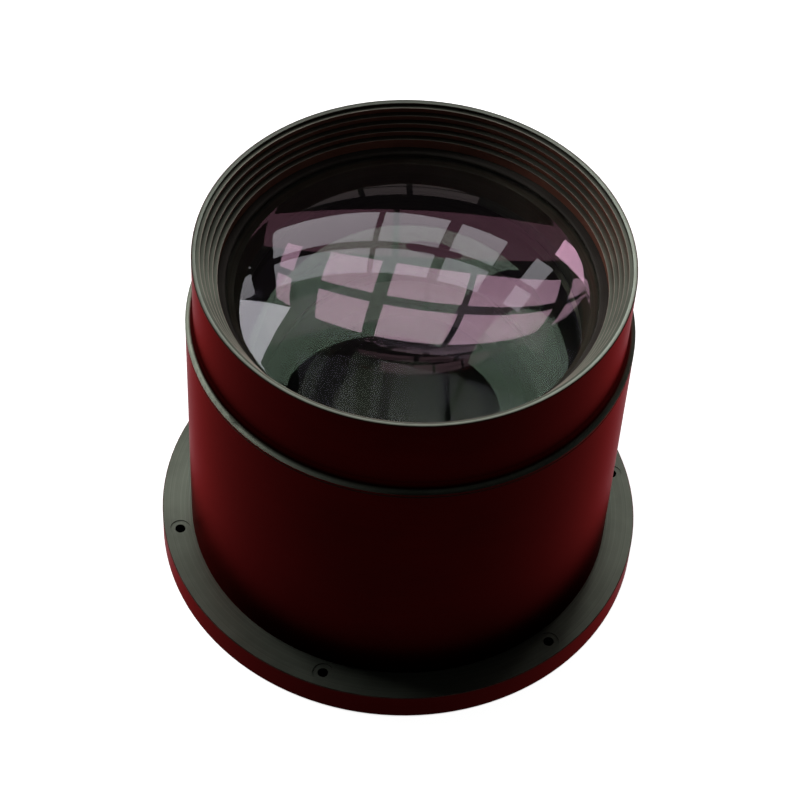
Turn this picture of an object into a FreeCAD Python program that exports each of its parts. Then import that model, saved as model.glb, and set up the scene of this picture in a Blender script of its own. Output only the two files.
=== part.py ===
# Large projection lens that stands on its own mounting flange.
# The origin is the centre of the flange's mounting face, and +Z runs up the optical axis to the rim.
# Every piece is turned about that axis, so each one is a half section swept once round it.

import FreeCAD, Part
import math
import os

# Hood, seen from above: everything here grows outward from the front glass
front_element_r = 54.6
front_ring_lip = 0.8
front_ring_lip_t = 0.95
front_ring_section = 1.85
front_ring_thread = 3.4
front_ring_chamfer = 0.35
hood_wall = 7.0
rim_land = 1.25
rim_drop = 0.3
front_apex_depth = 2.1
hood_length = 28.0

# Stepped light baffle inside the hood: a row of sharp crests on a taper
baffle_count = 5
baffle_first = 1.27
baffle_foot = 0.35
baffle_clear = 3.56
baffle_undercut = 0.5
baffle_crest = 0.2

# Collar of the front cell, barrel and flange
cove_r = 2.85
collar_reach = 2.25
collar_face = 0.9
edge_break = 0.25
flange_reach = 9.25
flange_t = 10.0
flange_edge = 0.7

# Both rings of screws start in the same direction
screws_first_deg = -106.3

# Screw holes round the flange
bolt_edge = 5.0
bolt_count = 6
bolt_hole_d = 3.2
bolt_face_d = 6.3
bolt_face_depth = 0.25

# Clearances
fit = 0.05
touch = 0.02
end_gap = 0.3
thread_relief = 1.0

# Glass: centre thickness and the curve of each face.
# A curve above zero bulges up to the rim, one below zero bulges down to the flange.
# A hollow face carries a flat land round its clear middle.
glass_bevel = 0.4
contact_inset = 1.2

front_element_t = 20.0
front_element_curve = 127.0
front_element_back_curve = -800.0
front_element_land = 4.6

second_gap = 1.0
second_element_inset = 8.6
second_element_t = 14.0
second_element_curve = 90.0
second_element_back_curve = 220.0
second_element_land = 5.0

third_gap = 11.5
third_element_inset = 8.0
third_element_t = 5.0
third_element_curve = -160.0
third_element_land = 4.0
third_element_back_curve = 52.0
third_element_back_land = 6.0

doublet_r = 34.0
doublet_flint_t = 4.0
doublet_crown_t = 19.0
doublet_curve = -62.0
doublet_land = 4.5
doublet_cement_curve = 70.0
doublet_back_curve = -110.0

rear_gap = 1.0
rear_element_ledge = 2.0
rear_element_t = 11.0
rear_element_curve = 150.0
rear_element_back_curve = -260.0

# Front cell below the collar
cell_wall = 3.85
spigot_length = 24.0
cell_taper = 6.0
tail_wall = 4.0
seat_width = 4.5

# Rings and spacers inside
front_spacer_overlap = 2.2
front_spacer_lip = 1.5
third_ring_section = 1.0
third_ring_t = 3.9
third_ring_lip = 5.5

# Stop, at the top of the rear cell
stop_r = 24.0
stop_plate_section = 2.5
stop_plate_t = 0.8
stop_seat_t = 1.2
stop_seat_flare = 1.0
stop_ring_t = 1.5
stop_ring_width = 4.0
cell_gap = 1.0

# Rear cell and its place in the barrel
barrel_relief = 2.0
barrel_floor_t = 15.0
rear_cell_face = 3.0
rear_flange_t = 4.0
rear_flange_reach = 9.0
rear_spigot_reach = 8.0
rear_tube_wall = 3.5
rear_spacer_width = 2.5
rear_ring_section = 1.4
rear_ring_inset = 3.0
rear_ring_depth = 3.0
rear_ring_lip = 2.5
rear_ring_chamfer = 1.2

# Slots for a spanner across the rings that are screwed in
spanner_slot_w = 2.0
spanner_slot_depth = 0.8

# Countersunk screws that hold the rear cell
rear_screw_count = 4
rear_screw_d = 3.0
rear_screw_head_d = 5.6
rear_screw_head_t = 1.6
rear_screw_length = 11.0
rear_screw_socket_af = 2.0
rear_screw_socket_depth = 1.0

AXIS_POINT = FreeCAD.Vector(0, 0, 0)
AXIS = FreeCAD.Vector(0, 0, 1)


class Outline:
    """Half section of a turned piece, drawn point by point as radius and height."""

    def __init__(self, r, z):
        self.first = (r, z)
        self.last = (r, z)
        self.edges = []

    def line(self, r, z):
        """Draw a straight stretch to a new point."""
        self.edges.append(Part.makeLine(at(*self.last), at(r, z)))
        self.last = (r, z)
        return self

    def across(self, r):
        """Draw a level stretch to a new radius."""
        return self.line(r, self.last[1])

    def along(self, z):
        """Draw a stretch parallel to the axis to a new height."""
        return self.line(self.last[0], z)

    def arc(self, middle, end):
        """Draw a round stretch through a middle point to an end point."""
        self.edges.append(Part.Arc(at(*self.last), at(*middle), at(*end)).toShape())
        self.last = end
        return self

    def turned(self):
        """Close the section and sweep it once round the axis."""
        self.line(*self.first)
        face = Part.Face(Part.Wire(self.edges))
        return face.revolve(AXIS_POINT, AXIS, 360)


class Glass:
    """One lens element with two ground faces, flat lands and bevelled edges."""

    def __init__(self, radius, bottom, thickness, curve, back_curve, land=0, back_land=0,
                 bevel=glass_bevel, back_bevel=glass_bevel):
        self.radius = radius
        self.top = bottom + thickness
        self.bottom = bottom
        self.curve = curve
        self.back_curve = back_curve
        self.bevel = bevel
        self.back_bevel = back_bevel
        self.clear = radius - (land or bevel)
        self.back_clear = radius - (back_land or back_bevel)
        self.front_edge_z = self.front_z(self.clear)
        self.back_edge_z = self.back_z(self.back_clear)

    def front_z(self, r):
        """Height of the front face at a radius."""
        return self.top - sag(self.curve, r)

    def back_z(self, r):
        """Height of the back face at a radius."""
        return self.bottom - sag(self.back_curve, r)

    def front_seat_z(self, contact_r, r):
        """Height at a radius of a cone that rests on the front face at contact_r."""
        return self.front_z(contact_r) - slope(self.curve, contact_r) * (r - contact_r) + touch

    def back_seat_z(self, contact_r, r):
        """Height at a radius of a cone that holds the back face up at contact_r."""
        return self.back_z(contact_r) - slope(self.back_curve, contact_r) * (r - contact_r) - touch

    def solid(self):
        """Turn the element."""
        section = Outline(0, self.bottom)
        middle = self.back_clear / 2
        section.arc((middle, self.back_z(middle)), (self.back_clear, self.back_edge_z))
        if self.back_clear < self.radius - self.back_bevel:
            section.across(self.radius - self.back_bevel)
        if self.back_bevel:
            section.line(self.radius, self.back_edge_z + self.back_bevel)
        section.along(self.front_edge_z - self.bevel)
        if self.bevel:
            section.line(self.radius - self.bevel, self.front_edge_z)
        if self.clear < self.radius - self.bevel:
            section.across(self.clear)
        middle = self.clear / 2
        section.arc((middle, self.front_z(middle)), (0, self.top))
        return section.turned()


def slotted(ring, radius, bottom):
    """Cut a pair of spanner slots across a ring, upward from a height."""
    slot = Part.makeBox(2 * radius, spanner_slot_w, spanner_slot_depth)
    slot.translate(FreeCAD.Vector(-radius, -spanner_slot_w / 2, bottom))
    return ring.cut(slot)


def at(r, z):
    """Point of a half section in space."""
    return FreeCAD.Vector(r, 0, z)


def sag(curve, r):
    """Fall of a round face from its pole to a radius, below zero where it rises."""
    return math.copysign(abs(curve) - math.sqrt(curve * curve - r * r), curve)


def slope(curve, r):
    """Fall of a round face for each millimetre of radius, at a radius."""
    return math.copysign(r / math.sqrt(curve * curve - r * r), curve)


def on_circle(shape, radius, degrees):
    """Copy of a shape made on the axis, moved out to a place on a circle."""
    copy = shape.copy()
    turn = math.radians(degrees)
    copy.translate(FreeCAD.Vector(radius * math.cos(turn), radius * math.sin(turn), 0))
    return copy


# Radii, from the front glass outward and then down the stack
front_bore_r = front_element_r + fit
front_thread_r = front_bore_r + front_ring_section
front_cell_r = front_thread_r + hood_wall
mouth_r = front_cell_r - rim_land
barrel_r = front_cell_r + collar_reach
flange_r = barrel_r + flange_reach
bolt_circle_r = flange_r - bolt_edge
spigot_r = front_bore_r + cell_wall
barrel_inner_r = spigot_r + barrel_relief
second_element_r = front_element_r - second_element_inset
third_element_r = second_element_r - third_element_inset
third_ring_r = third_element_r + third_ring_section
cell_tail_r = third_ring_r + tail_wall
stop_plate_r = doublet_r + stop_plate_section
rear_tube_r = stop_plate_r + rear_tube_wall
barrel_bore_r = rear_tube_r + rear_spigot_reach
rear_flange_r = barrel_bore_r + rear_flange_reach
rear_screw_circle_r = barrel_bore_r + rear_flange_reach / 2
rear_element_r = doublet_r + rear_element_ledge
rear_ring_r = rear_element_r + rear_ring_section

# The glasses and what stands between them, stacked up from the flange
rear_ring_bottom = rear_cell_face + rear_ring_inset
rear_glass = Glass(rear_element_r, rear_ring_bottom + rear_ring_depth, rear_element_t,
                   rear_element_curve, rear_element_back_curve)
doublet_crown = Glass(doublet_r, rear_glass.top + rear_gap, doublet_crown_t,
                      doublet_cement_curve, doublet_back_curve, bevel=0)
doublet_flint = Glass(doublet_r, doublet_crown.top, doublet_flint_t,
                      doublet_curve, doublet_cement_curve, land=doublet_land, back_bevel=0)
doublet_seat = doublet_flint.front_edge_z
stop_land = doublet_seat + stop_seat_t
rear_cell_top = stop_land + stop_plate_t + stop_ring_t
third_ring_bottom = rear_cell_top + cell_gap
third_back = third_ring_bottom + third_ring_t
third_back_clear = third_element_r - third_element_back_land
third_glass = Glass(third_element_r, third_back + sag(third_element_back_curve, third_back_clear),
                    third_element_t, third_element_curve, third_element_back_curve,
                    land=third_element_land, back_land=third_element_back_land)
third_seat = third_glass.front_edge_z
second_glass = Glass(second_element_r, third_glass.top + third_gap, second_element_t,
                     second_element_curve, second_element_back_curve,
                     back_land=second_element_land)
second_seat = second_glass.back_edge_z
front_glass = Glass(front_element_r, second_glass.top + second_gap, front_element_t,
                    front_element_curve, front_element_back_curve,
                    back_land=front_element_land)

# Heights of the outside and of the seats
total_height = front_glass.top + front_apex_depth
barrel_top = total_height - hood_length
barrel_floor_bottom = rear_cell_face + rear_flange_t
barrel_floor_top = barrel_floor_bottom + barrel_floor_t
front_contact_r = front_element_r - 2 * glass_bevel
front_ring_r = front_element_r - front_ring_lip
front_ring_top = front_glass.front_seat_z(front_contact_r, front_ring_r) + front_ring_lip_t
front_ring_bottom = front_ring_top - front_ring_thread
second_contact_r = second_element_r - contact_inset
spacer_bottom = second_glass.front_seat_z(second_contact_r, second_element_r)
front_ledge = spacer_bottom - end_gap
rear_step = rear_glass.front_z(doublet_r + fit) + end_gap
rear_contact_r = rear_element_r - contact_inset

# Crests of the baffle, evenly spaced between the rim and the ring below them
baffle_last_r = front_thread_r - baffle_foot
baffle_step = (mouth_r - baffle_last_r) / baffle_count
baffle_last_z = front_ring_top + baffle_clear
baffle_pitch = (total_height - baffle_first - baffle_last_z) / (baffle_count - 1)


def make_barrel():
    """Tube and base flange in one piece, with a floor that carries the rear cell."""
    section = Outline(rear_flange_r + fit, 0)
    section.across(flange_r - flange_edge)
    section.line(flange_r, flange_edge)
    section.along(flange_t - edge_break)
    section.line(flange_r - edge_break, flange_t)
    section.across(barrel_r)
    section.along(barrel_top - edge_break)
    section.line(barrel_r - edge_break, barrel_top)
    section.across(spigot_r)
    section.along(barrel_top - spigot_length - end_gap)
    section.across(barrel_inner_r)
    section.along(barrel_floor_top)
    section.across(barrel_bore_r)
    section.along(barrel_floor_bottom)
    section.across(rear_flange_r + fit)
    barrel = section.turned()

    hole = Part.makeCylinder(bolt_hole_d / 2, flange_t)
    face = Part.makeCylinder(bolt_face_d / 2, bolt_face_depth)
    face.translate(FreeCAD.Vector(0, 0, flange_t - bolt_face_depth))
    screw_hole = hole.fuse(face)
    for index in range(bolt_count):
        place = screws_first_deg + index * 360 / bolt_count
        barrel = barrel.cut(on_circle(screw_hole, bolt_circle_r, place))

    tapped = Part.makeCylinder(rear_screw_d / 2, rear_screw_length - rear_flange_t)
    tapped.translate(FreeCAD.Vector(0, 0, barrel_floor_bottom))
    for index in range(rear_screw_count):
        barrel = barrel.cut(on_circle(tapped, rear_screw_circle_r, rear_screw_place(index)))
    return barrel


def make_front_cell():
    """Hood, collar and cell of the first three glasses in one turned piece."""
    collar_top = barrel_top + collar_face
    reach = cove_r - collar_reach
    cove_centre_r = front_cell_r + cove_r
    cove_centre_z = collar_top + math.sqrt(cove_r * cove_r - reach * reach)
    half_turn = math.pi + math.acos(reach / cove_r) / 2
    cove_middle = (cove_centre_r + cove_r * math.cos(half_turn),
                   cove_centre_z + cove_r * math.sin(half_turn))

    section = Outline(spigot_r - fit, barrel_top)
    section.across(barrel_r - edge_break)
    section.line(barrel_r, barrel_top + edge_break)
    section.along(collar_top)
    section.arc(cove_middle, (front_cell_r, cove_centre_z))
    section.along(total_height - edge_break)
    section.line(front_cell_r - edge_break, total_height)
    section.line(mouth_r, total_height - rim_drop)
    section.along(total_height - rim_drop - baffle_crest)
    for index in range(baffle_count):
        crest_r = mouth_r - index * baffle_step
        tread_z = total_height - baffle_first - index * baffle_pitch
        section.line(crest_r + baffle_undercut, tread_z)
        section.across(crest_r - baffle_step)
        section.along(tread_z - baffle_crest)
    section.line(front_thread_r, baffle_last_z - baffle_crest - baffle_foot)
    section.along(front_ring_bottom - thread_relief)
    section.across(front_bore_r)
    section.along(front_ledge)
    section.across(second_element_r + fit)
    section.along(second_seat)
    section.across(second_element_r - seat_width)
    section.line(third_glass.clear, third_seat)
    section.across(third_element_r + fit)
    section.along(third_back + thread_relief)
    section.across(third_ring_r + fit)
    section.along(third_ring_bottom)
    section.across(cell_tail_r)
    section.along(barrel_top - spigot_length - cell_taper)
    section.line(spigot_r - fit, barrel_top - spigot_length)
    return section.turned()


def make_front_retaining_ring():
    """Threaded ring whose inner lip holds the first glass down."""
    section = Outline(front_ring_r, front_glass.front_seat_z(front_contact_r, front_ring_r))
    section.line(front_bore_r, front_glass.front_seat_z(front_contact_r, front_bore_r))
    section.along(front_ring_bottom)
    section.across(front_thread_r - fit)
    section.along(front_ring_top)
    section.across(front_ring_r + front_ring_chamfer)
    section.line(front_ring_r, front_ring_top - front_ring_chamfer)
    return section.turned()


def make_front_spacer():
    """Ring between the first glass and the second."""
    inner = second_element_r - front_spacer_overlap
    foot = second_glass.front_seat_z(second_contact_r, inner)
    section = Outline(inner, foot)
    section.line(second_element_r, spacer_bottom)
    section.across(front_element_r)
    section.along(front_glass.back_edge_z)
    section.across(front_glass.back_clear)
    section.line(inner, foot + front_spacer_lip)
    return section.turned()


def make_third_retaining_ring():
    """Ring below the third glass, flared to let the cone of light out."""
    inner = third_element_r - third_ring_lip
    section = Outline(inner + third_ring_t / 2, third_ring_bottom)
    section.across(third_ring_r)
    section.along(third_back)
    section.across(inner)
    return slotted(section.turned(), third_element_r, third_ring_bottom)


def make_aperture_stop():
    """Thin plate with a bevelled round opening."""
    section = Outline(stop_r + stop_plate_t / 2, stop_land)
    section.across(stop_plate_r)
    section.along(stop_land + stop_plate_t)
    section.across(stop_r)
    section.along(stop_land + stop_plate_t / 2)
    return section.turned()


def make_stop_retaining_ring():
    """Ring above the stop plate."""
    section = Outline(stop_plate_r - stop_ring_width, stop_land + stop_plate_t)
    section.across(stop_plate_r)
    section.along(rear_cell_top)
    section.across(stop_plate_r - stop_ring_width)
    return slotted(section.turned(), stop_plate_r - stop_ring_width / 2, rear_cell_top - spanner_slot_depth)


def make_rear_cell():
    """Cell of the cemented pair and the last glass, with a flange for its screws."""
    section = Outline(rear_ring_r + fit, rear_cell_face)
    section.across(rear_flange_r)
    section.along(barrel_floor_bottom)
    section.across(barrel_bore_r - fit)
    section.along(barrel_floor_top)
    section.across(rear_tube_r)
    section.along(rear_cell_top)
    section.across(stop_plate_r + fit)
    section.along(stop_land)
    section.across(doublet_flint.clear + stop_seat_flare)
    section.line(doublet_flint.clear, doublet_seat)
    section.across(doublet_r + fit)
    section.along(rear_step)
    section.across(rear_element_r + fit)
    section.along(rear_glass.back_edge_z + thread_relief)
    section.across(rear_ring_r + fit)
    cell = section.turned()

    shank = Part.makeCylinder(rear_screw_d / 2 + fit, rear_flange_t)
    sink = Part.makeCone(rear_screw_head_d / 2 + fit, rear_screw_d / 2 + fit, rear_screw_head_t)
    hole = shank.fuse(sink)
    hole.translate(FreeCAD.Vector(0, 0, rear_cell_face))
    for index in range(rear_screw_count):
        cell = cell.cut(on_circle(hole, rear_screw_circle_r, rear_screw_place(index)))
    return cell


def make_rear_spacer():
    """Ring between the cemented pair and the last glass."""
    inner = doublet_r - rear_spacer_width
    upper_contact = doublet_r - contact_inset
    lower_contact = doublet_r - rear_spacer_width / 2
    section = Outline(inner, rear_glass.front_seat_z(lower_contact, inner))
    section.line(doublet_r, rear_glass.front_seat_z(lower_contact, doublet_r))
    section.along(doublet_crown.back_seat_z(upper_contact, doublet_r))
    section.line(inner, doublet_crown.back_seat_z(upper_contact, inner))
    return section.turned()


def make_rear_retaining_ring():
    """Ring behind the last glass."""
    inner = rear_element_r - rear_ring_lip
    section = Outline(inner, rear_glass.back_seat_z(rear_contact_r, inner))
    section.along(rear_ring_bottom + rear_ring_chamfer)
    section.line(inner + rear_ring_chamfer, rear_ring_bottom)
    section.across(rear_ring_r)
    section.along(rear_glass.back_seat_z(rear_contact_r, rear_element_r))
    section.across(rear_element_r)
    return slotted(section.turned(), rear_element_r, rear_ring_bottom)


def rear_screw_place(index):
    """Angle of a rear cell screw in degrees."""
    return screws_first_deg + index * 360 / rear_screw_count


def make_rear_cell_screw():
    """Countersunk screw on the axis, head down, with a six-sided socket."""
    section = Outline(0, rear_cell_face)
    section.across(rear_screw_head_d / 2)
    section.line(rear_screw_d / 2, rear_cell_face + rear_screw_head_t)
    section.along(rear_cell_face + rear_screw_length - edge_break)
    section.line(rear_screw_d / 2 - edge_break, rear_cell_face + rear_screw_length)
    section.across(0)
    screw = section.turned()

    corner = rear_screw_socket_af / math.sqrt(3)
    corners = []
    for index in range(7):
        turn = index * math.pi / 3
        corners.append(FreeCAD.Vector(corner * math.cos(turn), corner * math.sin(turn), rear_cell_face))
    socket = Part.Face(Part.makePolygon(corners))
    return screw.cut(socket.extrude(FreeCAD.Vector(0, 0, rear_screw_socket_depth)))


def build():
    """Make every piece, each under the name of its node."""
    pieces = {
        "barrel": make_barrel(),
        "front_cell": make_front_cell(),
        "front_retaining_ring": make_front_retaining_ring(),
        "front_element": front_glass.solid(),
        "front_spacer": make_front_spacer(),
        "second_element": second_glass.solid(),
        "third_element": third_glass.solid(),
        "third_retaining_ring": make_third_retaining_ring(),
        "aperture_stop": make_aperture_stop(),
        "stop_retaining_ring": make_stop_retaining_ring(),
        "rear_cell": make_rear_cell(),
        "rear_doublet_flint": doublet_flint.solid(),
        "rear_doublet_crown": doublet_crown.solid(),
        "rear_spacer": make_rear_spacer(),
        "rear_element": rear_glass.solid(),
        "rear_retaining_ring": make_rear_retaining_ring(),
    }
    screw = make_rear_cell_screw()
    for index in range(rear_screw_count):
        name = "rear_cell_screw_%d" % (index + 1)
        pieces[name] = on_circle(screw, rear_screw_circle_r, rear_screw_place(index))
    return pieces


os.makedirs("parts", exist_ok=True)
for node, shape in build().items():
    solid = shape.Solids[0]
    print(node, "valid" if solid.isValid() else "not valid", round(solid.Volume, 1))
    solid.exportStep("parts/%s.step" % node)
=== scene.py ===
"""Dressed view of a large projection lens that stands on its mounting flange.

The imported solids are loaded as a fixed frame, in metres. The origin is the centre of the flange's
mounting face, and +Z runs up the optical axis to the rim. The script gives each solid its finish,
sets the lens on a plain pale floor under a bank of soft lights, and looks at it from above.
"""

import logging
import math
from dataclasses import dataclass, field
from enum import Enum
from typing import Any, Dict, List, Optional, Tuple

import bpy
from mathutils import Matrix, Vector

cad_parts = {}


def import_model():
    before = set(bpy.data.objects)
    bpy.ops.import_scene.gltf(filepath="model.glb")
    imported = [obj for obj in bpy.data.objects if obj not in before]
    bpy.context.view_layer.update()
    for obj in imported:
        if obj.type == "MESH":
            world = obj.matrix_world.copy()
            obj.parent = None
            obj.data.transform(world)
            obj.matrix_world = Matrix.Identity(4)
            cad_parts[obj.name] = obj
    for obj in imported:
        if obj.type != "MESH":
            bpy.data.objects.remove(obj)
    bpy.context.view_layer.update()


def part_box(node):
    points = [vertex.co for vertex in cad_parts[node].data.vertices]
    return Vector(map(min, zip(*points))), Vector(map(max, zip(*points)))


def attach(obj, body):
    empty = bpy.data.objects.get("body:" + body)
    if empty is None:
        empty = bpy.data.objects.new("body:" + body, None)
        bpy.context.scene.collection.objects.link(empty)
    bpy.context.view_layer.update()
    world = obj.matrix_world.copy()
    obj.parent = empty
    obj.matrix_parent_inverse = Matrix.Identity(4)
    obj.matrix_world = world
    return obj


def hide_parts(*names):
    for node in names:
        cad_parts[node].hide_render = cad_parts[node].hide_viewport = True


LOG = logging.getLogger("projection_lens")

Colour = Tuple[float, float, float]
Socket = bpy.types.NodeSocket

MM = 0.001

RIM_RADIUS = 63.5 * MM
RIM_HEIGHT = 124.48 * MM

# Values between which a noise texture mostly lies
NOISE_LOW = 0.3
NOISE_HIGH = 0.7

# Drawing of the glasses
SAME_POINT = 0.0001 * MM
MERGE_GAP = 0.002 * MM
SMOOTH_ANGLE = math.radians(25)


class Coating(Enum):
    """Tint that a coated glass face gives to what it mirrors. Above 1 it mirrors more than bare glass."""

    PALE = (0.95, 0.92, 1.02)
    GREEN = (0.5, 0.8, 0.56)
    PINK = (1.9, 1.0, 1.5)
    VIOLET = (0.62, 0.42, 1.0)
    PLAIN = (0.8, 0.9, 0.85)


class Facing(Enum):
    """Which way a patch of a turned piece points."""

    UP = 1.0
    DOWN = -1.0


class Graph:
    """Thin layer over a node tree that adds nodes and joins them."""

    # Sockets of the Mix node that carry its colours
    MIX_FIRST = 6
    MIX_SECOND = 7
    MIX_RESULT = 2

    def __init__(self, tree: bpy.types.NodeTree) -> None:
        """Keep the tree.

        Args:
            tree: The material's, world's or group's node tree.
        """
        self.tree = tree

    def node(self, kind: str, inputs: Optional[Dict[Any, Any]] = None, **settings: Any) -> bpy.types.Node:
        """Add a node.

        Args:
            kind: Blender's class name of the node.
            inputs: A value or a socket for each input, by name or index.
            **settings: Properties of the node itself.

        Returns:
            The new node.
        """
        made = self.tree.nodes.new(kind)
        for name, value in settings.items():
            setattr(made, name, value)
        for name, value in (inputs or {}).items():
            if isinstance(value, Socket):
                self.tree.links.new(value, made.inputs[name])
            else:
                made.inputs[name].default_value = value
        return made

    def math(self, operation: str, *values: Any) -> Socket:
        """Work out a number.

        Args:
            operation: Name of the operation, as the Math node has it.
            *values: Its operands, each a number or a socket.

        Returns:
            The result's socket.
        """
        return self.node("ShaderNodeMath", dict(enumerate(values)), operation=operation).outputs[0]

    def blend(self, share: Any, first: Any, second: Any) -> Socket:
        """Mix two colours.

        Args:
            share: How much of the second colour shows, from 0 to 1.
            first: A colour or a colour socket.
            second: A colour or a colour socket.

        Returns:
            The mixed colour's socket.
        """
        values = {0: share, self.MIX_FIRST: opaque(first), self.MIX_SECOND: opaque(second)}
        mixer = self.node("ShaderNodeMix", values, data_type="RGBA", clamp_result=False)
        return mixer.outputs[self.MIX_RESULT]

    def ease(self, value: Any, low: Any, high: Any, start: Any = 0.0, end: Any = 1.0) -> Socket:
        """Rise smoothly from one number to another.

        Args:
            value: What is read.
            low: Reading at which the rise starts.
            high: Reading at which it ends.
            start: Result below low.
            end: Result above high.

        Returns:
            The result's socket.
        """
        values = {0: value, 1: low, 2: high, 3: start, 4: end}
        ramp = self.node("ShaderNodeMapRange", values, interpolation_type="SMOOTHSTEP")
        return ramp.outputs[0]

    def place(self) -> Tuple[Socket, Socket, Socket]:
        """Read where a point of the lens is.

        Returns:
            Its position, its distance from the axis and its height.
        """
        spot = self.node("ShaderNodeTexCoord").outputs["Object"]
        split = self.node("ShaderNodeSeparateXYZ", {0: spot})
        flat = self.node("ShaderNodeCombineXYZ", {0: split.outputs[0], 1: split.outputs[1]})
        reach = self.node("ShaderNodeVectorMath", {0: flat.outputs[0]}, operation="LENGTH")
        return spot, reach.outputs["Value"], split.outputs[2]


def opaque(colour: Any) -> Any:
    """Give a plain colour its fourth number, and pass a socket on as it is."""
    return colour if isinstance(colour, Socket) else (*colour, 1.0)


class Effects:
    """Shader groups that several finishes share, each built once."""

    # Turning marks: shares of the fine and the broad ones, and how much wider the broad ones are
    FINE_SHARE = 0.7
    BROAD_SHARE = 0.3
    BROADER = 9.0

    # Patches in which the rubbed and highlight line along an edge is stronger, and the noise values between
    # which a patch fades in
    PATCHES_PER_METRE = 160.0
    PATCH_LOW = 0.35
    PATCH_HIGH = 0.65

    def __init__(self) -> None:
        """Build every group."""
        self.turning = self.make_turning()
        self.facing = self.make_facing()
        self.cloud = self.make_cloud()
        self.rub_and_highlight = self.make_rub_and_highlight()

    def start(self, name: str, inputs: Dict[str, float], outputs: List[str]) -> Tuple[Any, Graph, Any, Any]:
        """Open an empty group with its sockets.

        Args:
            name: Name of the group.
            inputs: Default value of each input.
            outputs: Names of the outputs.

        Returns:
            The group, its graph, and its input and output nodes.
        """
        group = bpy.data.node_groups.new(name, "ShaderNodeTree")
        for label, value in inputs.items():
            socket = group.interface.new_socket(label, in_out="INPUT", socket_type="NodeSocketFloat")
            socket.default_value = value
        for label in outputs:
            group.interface.new_socket(label, in_out="OUTPUT", socket_type="NodeSocketFloat")
        graph = Graph(group)
        return group, graph, graph.node("NodeGroupInput"), graph.node("NodeGroupOutput")

    def make_turning(self) -> bpy.types.NodeTree:
        """Fine rings that a lathe tool leaves on faces, walls and cones.

        Returns:
            A group that puts out the height of the marks and their light and dark tone.
        """
        group, graph, given, out = self.start(
            "turning_marks", {"Marks per metre": 2500.0, "Grain per metre": 5000.0, "Grain": 0.3},
            ["Height", "Tone"])
        spot, reach, height = graph.place()
        along = graph.math("ADD", reach, height)
        fine = graph.node(
            "ShaderNodeTexNoise", {"W": along, "Scale": given.outputs[0], "Detail": 3.0, "Roughness": 0.6},
            noise_dimensions="1D")
        broad = graph.node(
            "ShaderNodeTexNoise", {"W": along, "Scale": graph.math("DIVIDE", given.outputs[0], self.BROADER)},
            noise_dimensions="1D")
        grain = graph.node("ShaderNodeTexNoise", {"Vector": spot, "Scale": given.outputs[1], "Detail": 2.0})
        marks = graph.math("ADD", graph.math("MULTIPLY", fine.outputs[0], self.FINE_SHARE),
                           graph.math("MULTIPLY", broad.outputs[0], self.BROAD_SHARE))
        rough = graph.math("MULTIPLY", grain.outputs[0], given.outputs[2])
        graph.tree.links.new(graph.math("ADD", marks, rough), out.inputs[0])
        graph.tree.links.new(marks, out.inputs[1])
        return group

    def make_facing(self) -> bpy.types.NodeTree:
        """Which way a patch points.

        Returns:
            A group that puts out a mask of what faces up and one of what faces down.
        """
        group, graph, given, out = self.start("facing", {"From": 0.35, "To": 0.85}, ["Up", "Down"])
        normal = graph.node("ShaderNodeTexCoord").outputs["Normal"]
        tilt = graph.node("ShaderNodeSeparateXYZ", {0: normal}).outputs[2]
        for index, side in enumerate((Facing.UP, Facing.DOWN)):
            lean = graph.math("MULTIPLY", tilt, side.value)
            graph.tree.links.new(graph.ease(lean, given.outputs[0], given.outputs[1]), out.inputs[index])
        return group

    def make_cloud(self) -> bpy.types.NodeTree:
        """Slow change of tone across a dyed or blackened surface.

        Returns:
            A group that puts out a number round 1.
        """
        group, graph, given, out = self.start(
            "cloudy_tone", {"Clouds per metre": 40.0, "Depth": 0.2}, ["Tone"])
        spot, _, _ = graph.place()
        noise = graph.node("ShaderNodeTexNoise", {"Vector": spot, "Scale": given.outputs[0], "Detail": 4.0})
        low = graph.math("SUBTRACT", 1.0, given.outputs[1])
        high = graph.math("ADD", 1.0, given.outputs[1])
        graph.tree.links.new(graph.ease(noise.outputs[0], NOISE_LOW, NOISE_HIGH, low, high), out.inputs[0])
        return group

    def make_rub_and_highlight(self) -> bpy.types.NodeTree:
        """Bright line along a round edge: rubbed wear, and a painted highlight where the edge catches the
        light.

        Returns:
            A group that puts out a mask of the edge at a radius and height, with gaps in it.
        """
        group, graph, given, out = self.start(
            "rubbed_edge_and_highlight", {"Radius": 0.0635, "Height": 0.12, "Width": 0.0004, "Gaps": 0.5}, ["Mask"])
        spot, reach, height = graph.place()
        sideways = graph.math("SUBTRACT", reach, given.outputs[0])
        upright = graph.math("SUBTRACT", height, given.outputs[1])
        square = graph.math("ADD", graph.math("MULTIPLY", sideways, sideways),
                            graph.math("MULTIPLY", upright, upright))
        near = graph.ease(graph.math("SQRT", square), 0.0, given.outputs[2], 1.0, 0.0)
        noise = graph.node(
            "ShaderNodeTexNoise", {"Vector": spot, "Scale": self.PATCHES_PER_METRE, "Detail": 5.0})
        least = graph.math("SUBTRACT", 1.0, given.outputs[3])
        patchy = graph.ease(noise.outputs[0], self.PATCH_LOW, self.PATCH_HIGH, least, 1.0)
        graph.tree.links.new(graph.math("MULTIPLY", near, patchy), out.inputs[0])
        return group


def use(graph: Graph, group: bpy.types.NodeTree, **values: Any) -> bpy.types.Node:
    """Place a shared group in a material.

    Args:
        graph: The material's graph.
        group: The group.
        **values: A value for each input, with its spaces written as underscores.

    Returns:
        The group's node.
    """
    made = graph.node("ShaderNodeGroup", node_tree=group)
    for name, value in values.items():
        made.inputs[name.replace("_", " ")].default_value = value
    return made


def new_material(name: str) -> Tuple[bpy.types.Material, Graph, bpy.types.Node]:
    """Start a material with an empty tree and its output.

    Args:
        name: Name of the material.

    Returns:
        The material, its graph and its output node.
    """
    material = bpy.data.materials.new(name)
    material.use_nodes = True
    material.node_tree.nodes.clear()
    graph = Graph(material.node_tree)
    return material, graph, graph.node("ShaderNodeOutputMaterial")


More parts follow.
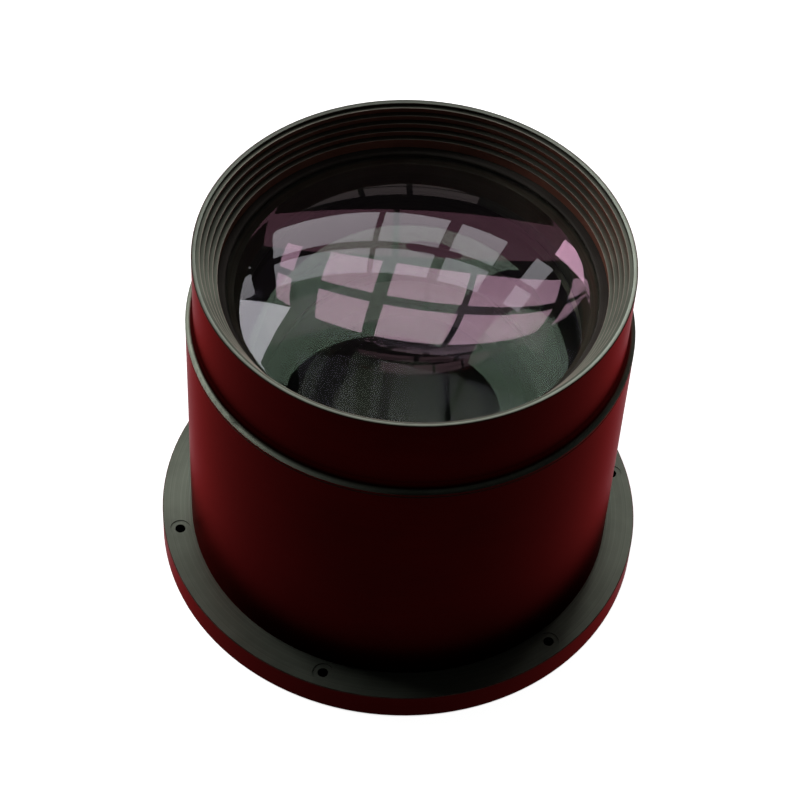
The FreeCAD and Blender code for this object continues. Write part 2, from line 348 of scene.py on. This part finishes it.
@dataclass(frozen=True)
class Edge:
    """A rubbed ring on a turned piece, painted brighter both as wear and as the highlight that the round edge
    catches.

    Attributes:
        radius: Radius of the ring.
        height: Height of the ring.
        width: Distance from the ring at which the rubbing ends.
        gaps: How much fainter the least rubbed stretches are, from 0 to 1.
        wear_and_highlight: Colour that the metal wears to, and the painted highlight along the edge.
    """

    radius: float
    height: float
    width: float
    gaps: float
    wear_and_highlight: Colour


@dataclass(frozen=True)
class TurnedMetal:
    """Turned metal that is anodised or blackened: dark walls, faces painted paler where light falls on what
    faces up, and rubbed edges that also carry painted highlight lines.

    Attributes:
        name: Name of the material.
        wall: Colour of the walls.
        face: Colour of what faces up, painted paler than the walls as the light that falls there.
        under: Colour of what faces down.
        grazing: Tint of what the metal mirrors at a flat angle.
        inner: Colour of the walls that are nearer the axis than inner_radius.
        inner_radius: Radius at which the inner walls end.
        inner_metal: How metallic the inner walls are.
        deep: Colour of everything that is nearer the axis than deep_radius.
        deep_radius: Radius at which the deep metal ends.
        level_from: Tilt at which a patch starts to count as facing up or down.
        level_to: Tilt at which it counts in full.
        wall_roughness: Roughness of the walls.
        face_roughness: Roughness of what faces up.
        metal: How metallic everything else is.
        dull: Strength of the gloss that isn't metallic.
        marks: Turning marks in a metre.
        relief: Depth of the marks.
        tone_depth: How far the marks lighten and darken the colour.
        edges: The rubbed edges, painted both as wear and as highlight lines.
    """

    name: str
    wall: Colour
    face: Colour
    under: Colour
    grazing: Colour
    inner: Colour = (0.0, 0.0, 0.0)
    inner_radius: float = 0.0
    inner_metal: float = 0.3
    deep: Colour = (0.0, 0.0, 0.0)
    deep_radius: float = 0.0
    level_from: float = 0.35
    level_to: float = 0.85
    wall_roughness: float = 0.36
    face_roughness: float = 0.46
    metal: float = 0.9
    dull: float = 0.03
    marks: float = 2200.0
    relief: float = 0.004 * MM
    tone_depth: float = 0.12
    edges: Tuple[Edge, ...] = ()

    def material(self, effects: Effects) -> bpy.types.Material:
        """Build the material.

        Args:
            effects: The shared shader groups.

        Returns:
            The material.
        """
        material, graph, out = new_material(self.name)
        facing = use(graph, effects.facing, From=self.level_from, To=self.level_to)
        turning = use(graph, effects.turning, Marks_per_metre=self.marks)
        cloud = use(graph, effects.cloud)
        _, reach, _ = graph.place()
        steep = graph.math("SUBTRACT", 1.0, facing.outputs["Up"])
        inside = graph.math("MULTIPLY", graph.math("LESS_THAN", reach, self.inner_radius), steep)
        metal = graph.blend(inside, (self.metal,) * 3, (self.inner_metal,) * 3)
        colour = graph.blend(inside, self.wall, self.inner)
        # Painted light: what faces up takes the paler face colour, which stands for the light that falls on
        # it
        colour = graph.blend(facing.outputs["Up"], colour, self.face)
        colour = graph.blend(facing.outputs["Down"], colour, self.under)
        colour = graph.blend(graph.math("LESS_THAN", reach, self.deep_radius), colour, self.deep)
        tone = graph.ease(
            turning.outputs["Tone"], NOISE_LOW, NOISE_HIGH, 1.0 - self.tone_depth, 1.0 + self.tone_depth)
        tone = graph.math("MULTIPLY", tone, cloud.outputs["Tone"])
        colour = graph.node("ShaderNodeVectorMath", {0: colour, 3: tone}, operation="SCALE").outputs[0]
        # Painted highlight lines along the round edges, together with rubbed wear
        for edge in self.edges:
            rub_and_highlight = use(
                graph, effects.rub_and_highlight, Radius=edge.radius, Height=edge.height, Width=edge.width, Gaps=edge.gaps)
            colour = graph.blend(rub_and_highlight.outputs[0], colour, edge.wear_and_highlight)
        roughness = graph.blend(
            facing.outputs["Up"], (self.wall_roughness,) * 3, (self.face_roughness,) * 3)
        bump = graph.node("ShaderNodeBump", {"Height": turning.outputs["Height"], "Distance": self.relief})
        shader = graph.node("ShaderNodeBsdfPrincipled", {
            "Base Color": colour, "Metallic": metal, "Roughness": roughness,
            "Specular IOR Level": self.dull, "Specular Tint": opaque(self.grazing),
            "Normal": bump.outputs[0]})
        graph.tree.links.new(shader.outputs[0], out.inputs[0])
        return material


@dataclass(frozen=True)
class CoatedGlass:
    """Polished face of a lens, with the tint that its coating mirrors.

    A coating mirrors far less than bare glass does, so a face deep in the stack has a low index.
    """

    name: str
    coating: Coating
    index: float
    body: Colour

    def material(self, effects: Effects) -> bpy.types.Material:
        """Build the material.

        Args:
            effects: The shared shader groups.

        Returns:
            The material.
        """
        material, graph, out = new_material(self.name)
        cloud = use(graph, effects.cloud, Clouds_per_metre=30.0, Depth=0.01)
        body = graph.node("ShaderNodeVectorMath", {0: self.body, 3: cloud.outputs[0]}, operation="SCALE")
        glass = graph.node("ShaderNodeBsdfPrincipled", {
            "Base Color": body.outputs[0], "Roughness": 0.0, "IOR": self.index, "Transmission Weight": 1.0,
            "Specular Tint": opaque(self.coating.value)})
        graph.tree.links.new(glass.outputs[0], out.inputs[0])
        return material


@dataclass(frozen=True)
class GroundEdge:
    """Fine-ground edge of a lens, painted black."""

    name: str = "blackened_ground_edge"
    paint: Colour = (0.012, 0.012, 0.011)
    roughness: float = 0.75

    def material(self, effects: Effects) -> bpy.types.Material:
        """Build the material.

        Args:
            effects: The shared shader groups.

        Returns:
            The material.
        """
        material, graph, out = new_material(self.name)
        cloud = use(graph, effects.cloud, Clouds_per_metre=300.0)
        colour = graph.node("ShaderNodeVectorMath", {0: self.paint, 3: cloud.outputs[0]}, operation="SCALE")
        paint = graph.node("ShaderNodeBsdfPrincipled", {
            "Base Color": colour.outputs[0], "Roughness": self.roughness})
        graph.tree.links.new(paint.outputs[0], out.inputs[0])
        return material


def dress(node: str, material: bpy.types.Material) -> None:
    """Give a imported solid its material.

    Args:
        node: Name of the solid.
        material: What it gets.
    """
    piece = bpy.data.objects[node]
    if not piece.material_slots:
        piece.data.materials.append(material)
    for slot in piece.material_slots:
        slot.material = material
    LOG.info("%s wears %s", node, material.name)


@dataclass
class Body:
    """Barrel with its flange, and front cell with its hood."""

    mouth_radius: float = 62.25 * MM
    rim_drop: float = 0.3 * MM
    land_middle: float = 0.35 * MM
    # Edge colours: rubbed wear plus painted highlight lines; the rim's outer edge is a painted wine-red sheen
    land_wear_and_highlight: Colour = (0.36, 0.4, 0.34)
    mouth_wear_and_highlight: Colour = (0.36, 0.42, 0.36)
    rim_wear_and_sheen: Colour = (0.05, 0.018, 0.016)
    flange_radius: float = 75.0 * MM
    flange_height: float = 10.0 * MM
    flange_wear_and_highlight: Colour = (0.25, 0.1, 0.09)
    crests: int = 5
    first_crest: Tuple[float, float] = (61.03 * MM, 123.21 * MM)
    crest_step: Tuple[float, float] = (1.22 * MM, 2.065 * MM)
    crest_width: float = 0.22 * MM
    crest_wear_and_highlight: Colour = (0.32, 0.28, 0.24)
    inside_margin: float = 0.6 * MM
    bore_radius: float = 54.8 * MM
    parts: Tuple[str, ...] = ("barrel", "front_cell")

    def edges(self) -> Tuple[Edge, ...]:
        """List the round edges that get a painted highlight line and rubbed wear: rim, flange and crests of
        the baffle.

        Returns:
            The edges.
        """
        mouth_height = RIM_HEIGHT - self.rim_drop
        outer = (
            Edge(self.mouth_radius + self.land_middle, mouth_height,
                 width=0.75 * MM, gaps=0.2, wear_and_highlight=self.land_wear_and_highlight),
            Edge(RIM_RADIUS, RIM_HEIGHT, width=0.35 * MM, gaps=0.3, wear_and_highlight=self.rim_wear_and_sheen),
            Edge(self.mouth_radius, mouth_height, width=0.35 * MM, gaps=0.6, wear_and_highlight=self.mouth_wear_and_highlight),
            Edge(self.flange_radius, self.flange_height, width=0.3 * MM, gaps=0.6, wear_and_highlight=self.flange_wear_and_highlight))
        (radius, height), (inward, down) = self.first_crest, self.crest_step
        return outer + tuple(
            Edge(radius - crest * inward, height - crest * down,
                 width=self.crest_width, gaps=0.3, wear_and_highlight=self.crest_wear_and_highlight)
            for crest in range(self.crests))

    def dress(self, effects: Effects) -> None:
        """Give the outer metal its wine red walls, and grey-green faces painted paler as the light that falls
        on what faces up.

        Args:
            effects: The shared shader groups.
        """
        # The face colour is painted light on what faces up; the high level_from keeps the coves in the dark
        # wall colour
        finish = TurnedMetal(
            "wine_red_anodised_body",
            wall=(0.0045, 0.0002, 0.0001), face=(0.13, 0.146, 0.118), under=(0.02, 0.018, 0.016),
            grazing=(0.7, 0.02, 0.06),
            inner=(0.24, 0.1, 0.07), inner_radius=self.mouth_radius + self.inside_margin,
            deep=(0.055, 0.054, 0.043), deep_radius=self.bore_radius,
            level_from=0.62, level_to=0.9, edges=self.edges())
        material = finish.material(effects)
        for part in self.parts:
            dress(part, material)


@dataclass
class InnerMetal:
    """Cells, rings, spacers and the stop: everything metal that sits round or behind the glass."""

    outer: Tuple[str, ...] = ("front_retaining_ring", "rear_cell", "rear_retaining_ring")
    inner: Tuple[str, ...] = (
        "front_spacer", "third_retaining_ring", "aperture_stop", "stop_retaining_ring", "rear_spacer")
    screws: Tuple[str, ...] = tuple("rear_cell_screw_%d" % number for number in range(1, 5))

    def dress(self, effects: Effects) -> None:
        """Blacken the metal.

        Args:
            effects: The shared shader groups.
        """
        # Each finish paints what faces up a little paler, as painted light
        black = TurnedMetal(
            "matt_black_rings",
            wall=(0.032, 0.026, 0.022), face=(0.05, 0.045, 0.04), under=(0.03, 0.031, 0.027),
            grazing=(0.6, 0.6, 0.6), wall_roughness=0.55, face_roughness=0.55, metal=0.3, marks=1500.0)
        inside = TurnedMetal(
            "matt_olive_black_inside",
            wall=(0.075, 0.074, 0.058), face=(0.095, 0.094, 0.075), under=(0.05, 0.05, 0.042),
            grazing=(0.6, 0.6, 0.6), wall_roughness=0.6, face_roughness=0.6, metal=0.2, marks=1500.0)
        steel = TurnedMetal(
            "blackened_screw_steel",
            wall=(0.05, 0.05, 0.05), face=(0.06, 0.06, 0.06), under=(0.07, 0.07, 0.072),
            grazing=(0.9, 0.9, 0.9), wall_roughness=0.3, face_roughness=0.3)
        for finish, parts in ((black, self.outer), (inside, self.inner), (steel, self.screws)):
            material = finish.material(effects)
            for part in parts:
                dress(part, material)


def turn_outline(name: str, outline: List[Tuple[float, float]], steps: int) -> bpy.types.Object:
    """Draw a half section point by point and spin it once round the axis.

    Args:
        name: Name of the piece.
        outline: Radius and height of each point, from the axis out and back to it.
        steps: Number of steps in a turn.

    Returns:
        The piece.
    """
    bpy.ops.object.select_all(action="DESELECT")
    radius, height = outline[0]
    bpy.ops.mesh.primitive_plane_add(size=1 * MM, location=(radius, 0, height))
    piece = bpy.context.object
    piece.name = name
    bpy.ops.object.transform_apply(location=True, rotation=True, scale=True)
    bpy.ops.object.mode_set(mode="EDIT")
    bpy.ops.mesh.merge(type="CENTER")
    for (old_radius, old_height), (new_radius, new_height) in zip(outline, outline[1:]):
        move = (new_radius - old_radius, 0, new_height - old_height)
        bpy.ops.mesh.extrude_region_move(TRANSFORM_OT_translate={"value": move})
    bpy.ops.mesh.select_all(action="SELECT")
    bpy.ops.mesh.spin(steps=steps, angle=2 * math.pi, center=(0, 0, 0), axis=(0, 0, 1))
    bpy.ops.mesh.select_all(action="SELECT")
    bpy.ops.mesh.remove_doubles(threshold=MERGE_GAP)
    bpy.ops.mesh.normals_make_consistent(inside=False)
    bpy.ops.object.mode_set(mode="OBJECT")
    bpy.ops.object.shade_smooth_by_angle(angle=SMOOTH_ANGLE)
    return piece


@dataclass(frozen=True)
class Element:
    """One lens element.

    Attributes:
        node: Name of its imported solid.
        front: Radius of the upper face. Above zero it bulges up, below zero it bulges down.
        back: Radius of the lower face, with the same rule.
        indices: Refractive index at the front and at the back.
        coatings: Coating of the front and of the back.
        body: Tint of the glass itself.
        front_land: Width of the flat ring round a hollow front.
        back_land: Width of the flat ring round a hollow back.
        front_bevel: Bevel between the front and the edge.
        back_bevel: Bevel between the back and the edge.
        back_lift: Gap that keeps a cemented back clear of the next element.
        rings: Steps of a face from the axis to its end.
        steps: Steps in a turn.
        edge_least: Least width of the ring that counts as the edge.
        edge_slack: Factor that keeps the faces out of that ring.
    """

    node: str
    front: float
    back: float
    indices: Tuple[float, float]
    coatings: Tuple[Coating, Coating]
    body: Colour = (0.9, 0.9, 0.865)
    front_land: float = 0.0
    back_land: float = 0.0
    front_bevel: float = 0.4 * MM
    back_bevel: float = 0.4 * MM
    back_lift: float = 0.0
    rings: int = 36
    steps: int = 256
    edge_least: float = 0.1 * MM
    edge_slack: float = 1.01

    @staticmethod
    def sag(curve: float, radius: float) -> float:
        """Fall of a round face from its pole to a radius, below zero where it rises."""
        return math.copysign(abs(curve) - math.sqrt(curve * curve - radius * radius), curve)

    def face(self, curve: float, pole: float, reach: float) -> List[Tuple[float, float]]:
        """Points of a round face from the axis outwards.

        Args:
            curve: Radius of the face.
            pole: Height of its middle.
            reach: Radius at which it ends.

        Returns:
            Radius and height of each point.
        """
        radii = [reach * step / self.rings for step in range(self.rings + 1)]
        return [(radius, pole - self.sag(curve, radius)) for radius in radii]

    def outline(self) -> List[Tuple[float, float]]:
        """Half section of the element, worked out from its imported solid.

        Returns:
            Radius and height of each point, from the middle of the back round to the front's.
        """
        low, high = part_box(self.node)
        radius = (high.x - low.x) / 2
        clear = radius - (self.front_land or self.front_bevel)
        back_clear = radius - (self.back_land or self.back_bevel)
        pole = high.z + (self.sag(self.front, clear) if self.front < 0 else 0.0)
        back_pole = low.z + (self.sag(self.back, back_clear) if self.back > 0 else 0.0)
        back_pole += self.back_lift
        back = self.face(self.back, back_pole, back_clear)
        front = self.face(self.front, pole, clear)
        edge = [(radius - self.back_bevel, back[-1][1]), (radius, back[-1][1] + self.back_bevel),
                (radius, front[-1][1] - self.front_bevel), (radius - self.front_bevel, front[-1][1])]
        points = back + edge + front[::-1]
        return points[:1] + [
            point for point, last in zip(points[1:], points) if math.dist(point, last) > SAME_POINT]

    def build(self, effects: Effects, edge: bpy.types.Material) -> None:
        """Grind the element and coat its faces.

        Args:
            effects: The shared shader groups.
            edge: Material of the ground edge.
        """
        piece = turn_outline("%s_glass" % self.node, self.outline(), self.steps)
        for side, coating, index in zip(("front", "back"), self.coatings, self.indices):
            finish = CoatedGlass("%s_%s_coating" % (self.node, side), coating, index, self.body)
            piece.data.materials.append(finish.material(effects))
        piece.data.materials.append(edge)
        low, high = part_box(self.node)
        edge_width = max(self.front_bevel, self.back_bevel, self.edge_least)
        rim = (high.x - low.x) / 2 - self.edge_slack * edge_width
        # Slots of the piece: 0 is the front's coating, 1 is the back's and 2 is the ground edge
        for face in piece.data.polygons:
            outer = math.hypot(face.center.x, face.center.y) > rim
            face.material_index = 2 if outer else (0 if face.normal.z > 0 else 1)
        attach(piece, "root")
        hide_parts(self.node)
        LOG.info("%s stands for %s, %d faces", piece.name, self.node, len(piece.data.polygons))


@dataclass
class LensStack:
    """The glasses on the axis, from the rim down."""

    elements: Tuple[Element, ...] = (
        Element("front_element", front=127 * MM, back=-800 * MM, indices=(1.52, 1.52),
                coatings=(Coating.PALE, Coating.PINK), body=(0.985, 0.99, 0.975), back_land=4.6 * MM),
        Element("second_element", front=90 * MM, back=220 * MM, indices=(1.34, 1.12),
                coatings=(Coating.GREEN, Coating.VIOLET), body=(0.96, 0.965, 0.945), back_land=5 * MM),
        Element("third_element", front=-160 * MM, back=52 * MM, indices=(1.1, 1.04),
                coatings=(Coating.GREEN, Coating.PLAIN), front_land=4 * MM, back_land=6 * MM),
        Element("rear_doublet_flint", front=-62 * MM, back=70 * MM, indices=(1.12, 1.1),
                coatings=(Coating.VIOLET, Coating.PLAIN), front_land=4.5 * MM, back_bevel=0.0,
                back_lift=0.02 * MM),
        Element("rear_doublet_crown", front=70 * MM, back=-110 * MM, indices=(1.1, 1.12),
                coatings=(Coating.PLAIN, Coating.GREEN), front_bevel=0.0),
        Element("rear_element", front=150 * MM, back=-260 * MM, indices=(1.1, 1.15),
                coatings=(Coating.PINK, Coating.PALE)),
    )

    def build(self, effects: Effects) -> None:
        """Grind and coat every element.

        Args:
            effects: The shared shader groups.
        """
        edge = GroundEdge().material(effects)
        for element in self.elements:
            element.build(effects, edge)


@dataclass
class Stage:
    """Plain pale floor and pale surroundings.

    Attributes:
        size: Side of the floor.
        pale: Colour of the floor.
        glow_seen: Light that the floor adds where the camera sees it, so that it looks white.
        glow_mirrored: Light that the floor adds in what the lens mirrors.
        sheltered: Radius under the lens that doesn't glow.
        fade: Width over which the glow starts.
        backdrop_low: Height up to which the backdrop is fully bright, as a share of the sky.
        backdrop_high: Height at which the ceiling starts, as a share of the sky.
        ceiling: Brightness of the ceiling in what the lens mirrors.
        ambient: Light that falls in from all round.
    """

    size: float = 60.0
    pale: Colour = (0.8, 0.8, 0.8)
    glow_seen: float = 0.96
    glow_mirrored: float = 0.8
    sheltered: float = 74.0 * MM
    fade: float = 1.0 * MM
    backdrop_low: float = 0.02
    backdrop_high: float = 0.1
    ceiling: float = 0.02
    ambient: float = 0.09

    def floor(self) -> None:
        """Lay the floor."""
        bpy.ops.mesh.primitive_plane_add(size=self.size)
        floor = bpy.context.object
        floor.name = "studio_floor"
        material, graph, out = new_material("plain_pale_floor")
        _, reach, _ = graph.place()
        matt = graph.node("ShaderNodeBsdfDiffuse", {"Color": opaque(self.pale)})
        path = graph.node("ShaderNodeLightPath")
        mirrored = graph.math("MAXIMUM", path.outputs["Is Glossy Ray"], path.outputs["Is Transmission Ray"])
        strength = graph.math("ADD", graph.math("MULTIPLY", path.outputs["Is Camera Ray"], self.glow_seen),
                              graph.math("MULTIPLY", mirrored, self.glow_mirrored))
        clear = graph.ease(reach, self.sheltered, self.sheltered + self.fade)
        strength = graph.math("MULTIPLY", strength, clear)
        glow = graph.node("ShaderNodeEmission", {"Strength": strength})
        both = graph.node("ShaderNodeAddShader", {0: matt.outputs[0], 1: glow.outputs[0]})
        graph.tree.links.new(both.outputs[0], out.inputs[0])
        floor.data.materials.append(material)

    def world(self) -> None:
        """Surround the floor with a low pale backdrop under a dim ceiling."""
        world = bpy.data.worlds.new("pale_surroundings")
        bpy.context.scene.world = world
        world.use_nodes = True
        world.node_tree.nodes.clear()
        graph = Graph(world.node_tree)
        out = graph.node("ShaderNodeOutputWorld")
        path = graph.node("ShaderNodeLightPath")
        ray = graph.node("ShaderNodeTexCoord").outputs["Generated"]
        height = graph.node("ShaderNodeSeparateXYZ", {0: ray}).outputs[2]
        wall = graph.ease(height, self.backdrop_low, self.backdrop_high, 1.0, self.ceiling)
        mirrored = graph.math("MAXIMUM", path.outputs["Is Glossy Ray"], path.outputs["Is Transmission Ray"])
        strength = graph.math("ADD", graph.math("MULTIPLY", mirrored, wall),
                              graph.math("MULTIPLY", graph.math("SUBTRACT", 1.0, mirrored), self.ambient))
        strength = graph.math("MAXIMUM", strength, path.outputs["Is Camera Ray"])
        back = graph.node("ShaderNodeBackground", {"Strength": strength})
        graph.tree.links.new(back.outputs[0], out.inputs[0])


@dataclass
class LightBank:
    """Soft lights behind the lens: rows of flat panels in one plane, with dark bars between them.

    The plane faces the lens. All angles are in degrees.

    Attributes:
        name: Name of the bank.
        turn: Bearing of the plane's middle, round the optical axis from X.
        rise: Angle of the plane's middle above the level of the lens.
        roll: How far the plane's top tips to the left, as the lens sees it.
        columns: Left and right end of each column, as angles to the right of the middle.
        rows: Lower and upper end of each row, as angles above the middle.
        radiance: Brightness of the panels.
        tint: Colour of the panels.
        distance: Distance of the plane from the lens.
        aim: Point of the lens that the plane faces.
    """

    name: str
    turn: float
    rise: float
    roll: float
    columns: Tuple[Tuple[float, float], ...]
    rows: Tuple[Tuple[float, float], ...]
    radiance: float
    tint: Colour = (1.0, 1.0, 1.0)
    distance: float = 2.2
    aim: Vector = field(default_factory=lambda: Vector((0.0, 0.0, 0.115)))

    def plane(self) -> Matrix:
        """Stand in the middle of the plane, with X to the left and Y up as the lens sees it.

        Returns:
            The place and turn of the plane; its Z axis points away from the lens.
        """
        bearing, height, tip = (math.radians(angle) for angle in (self.turn, self.rise, self.roll))
        away = Vector((
            math.cos(bearing) * math.cos(height), math.sin(bearing) * math.cos(height), math.sin(height)))
        level = Vector((-math.sin(bearing), math.cos(bearing), 0.0))
        rising = away.cross(level)
        across = math.cos(tip) * level - math.sin(tip) * rising
        upward = math.cos(tip) * rising + math.sin(tip) * level
        turned = Matrix((across, upward, away)).transposed().to_4x4()
        return Matrix.Translation(self.aim + away * self.distance) @ turned

    def span(self, angles: Tuple[float, float]) -> Tuple[float, float]:
        """Middle and width on the plane of a stretch that is given as two angles."""
        low, high = (self.distance * math.tan(math.radians(angle)) for angle in angles)
        return (low + high) / 2, high - low

    def hang(self) -> None:
        """Hang every panel of the bank."""
        plane = self.plane()
        for row, levels in enumerate(self.rows):
            for column, sides in enumerate(self.columns):
                label = "%s_%d_%d" % (self.name, row + 1, column + 1)
                middle, width = self.span(sides)
                level, height = self.span(levels)
                lamp = bpy.data.lights.new(label, "AREA")
                lamp.shape = "RECTANGLE"
                lamp.color = self.tint
                lamp.size = width
                lamp.size_y = height
                lamp.energy = self.radiance * math.pi * width * height
                holder = bpy.data.objects.new(label, lamp)
                bpy.context.scene.collection.objects.link(holder)
                holder.visible_camera = False
                holder.matrix_world = plane @ Matrix.Translation((-middle, level, 0.0))


LIGHT_BANKS = (
    LightBank(
        "window_wall", turn=95.0, rise=42.0, roll=12.0, radiance=2.5,
        columns=((-46.0, -31.0), (-26.0, -5.5), (-4.3, 8.4), (10.8, 20.5), (27.0, 31.0)),
        rows=((-14.0, -1.6), (1.2, 10.5))),
    LightBank(
        "side_fill", turn=154.0, rise=34.0, roll=0.0, radiance=5.8,
        columns=((-12.0, 12.0),), rows=((-16.0, 16.0),)),
    LightBank(
        "far_wall", turn=92.0, rise=15.0, roll=0.0, radiance=0.26, tint=(1.0, 0.82, 0.8),
        columns=((-30.0, -19.0), (-18.0, -8.0), (-7.0, 0.0), (1.0, 12.0)),
        rows=((-4.5, -0.5), (0.0, 4.0))),
    LightBank(
        "upper_wall", turn=92.0, rise=62.0, roll=0.0, radiance=0.5, tint=(1.0, 0.78, 0.8),
        columns=((-34.0, 4.0), (5.0, 34.0)), rows=((-6.5, 7.0),)),
)


@dataclass
class Viewpoint:
    """Camera of the photograph, found from the circles of the rim, the collar and the flange.

    Attributes:
        focal_pixels: Focal length, in pixels of the photograph.
        frame_pixels: Width of the photograph.
        elevation: Height of the camera above the level of the lens, in radians.
        roll: Turn of the camera about its own axis, in radians.
        distance: Way back from the rim's middle, in radii of the rim.
        right: Way to the right from there, in radii of the rim.
        up: Way up from there, in radii of the rim.
        film: Width of the film, in millimetres.
        near: Nearest distance that the camera sees.
        far: Farthest distance that the camera sees.
    """

    focal_pixels: float = 2506.964
    frame_pixels: float = 800.0
    elevation: float = 0.872987
    roll: float = 0.0637674
    distance: float = 11.201732
    right: float = -0.067578
    up: float = -0.653472
    film: float = 36.0
    near: float = 0.01
    far: float = 200.0

    def set(self) -> None:
        """Place the camera and make it the scene's own."""
        away = Vector((0, -math.cos(self.elevation), math.sin(self.elevation)))
        level = Vector((1, 0, 0))
        rising = Vector((0, math.sin(self.elevation), math.cos(self.elevation)))
        across = math.cos(self.roll) * level + math.sin(self.roll) * rising
        upward = -math.sin(self.roll) * level + math.cos(self.roll) * rising
        spot = (away * self.distance + across * self.right + upward * self.up) * RIM_RADIUS
        spot += Vector((0, 0, RIM_HEIGHT))
        camera = bpy.data.cameras.new("photo_camera")
        camera.sensor_width = self.film
        camera.lens = self.focal_pixels / self.frame_pixels * self.film
        camera.clip_start = self.near
        camera.clip_end = self.far
        holder = bpy.data.objects.new("photo_camera", camera)
        bpy.context.scene.collection.objects.link(holder)
        turned = Matrix((across, upward, away)).transposed().to_4x4()
        holder.matrix_world = Matrix.Translation(spot) @ turned
        bpy.context.scene.camera = holder


def main() -> None:
    """Build the scene in order: frame, camera, metal, glass, stage and lights."""
    logging.basicConfig(level=logging.INFO, format="%(name)s: %(message)s")
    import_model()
    Viewpoint().set()
    effects = Effects()
    Body().dress(effects)
    InnerMetal().dress(effects)
    LensStack().build(effects)
    stage = Stage()
    stage.floor()
    stage.world()
    for bank in LIGHT_BANKS:
        bank.hang()
    bpy.context.scene.view_settings.view_transform = "Standard"


if __name__ == "__main__":
    main()
